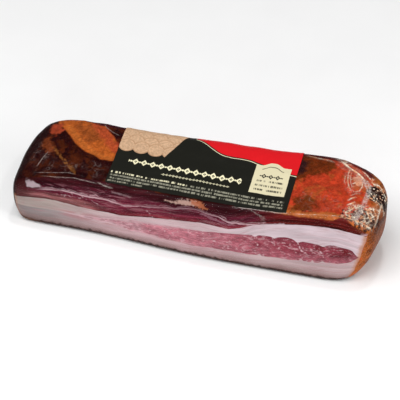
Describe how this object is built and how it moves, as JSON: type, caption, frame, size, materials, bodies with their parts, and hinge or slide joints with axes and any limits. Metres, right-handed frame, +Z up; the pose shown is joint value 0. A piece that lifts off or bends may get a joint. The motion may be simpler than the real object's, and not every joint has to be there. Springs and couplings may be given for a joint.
{
  "type": "bacon pack",
  "caption": "Long block of smoked streaky bacon, vacuum packed in clear film, with a printed label over its top; lies flat on its rind.",
  "frame": {"origin": "centre of the box round the pack, on the surface that it lies on", "axes": "+X along the slab towards its thicker end, +Y away from the cut face that shows the layers, +Z up through the label"},
  "size_m": [0.2813, 0.0737, 0.0659],
  "materials": {
    "dark_lean": "smoked dark red lean seen through wet, glossy clear film",
    "fat": "pinkish white fat seen through wet, glossy clear film",
    "pink_lean": "pink marbled lean seen through wet, glossy clear film",
    "label_print": "satin coated paper printed in black, red and cream",
    "film": "clear shrink film, glossy and wrinkled"
  },
  "bodies": {
    "root": {"upper_lean": "dark_lean", "upper_fat": "fat", "middle_lean": "pink_lean", "lower_fat": "fat", "label": "label_print"}
  },
  "joints": []
}
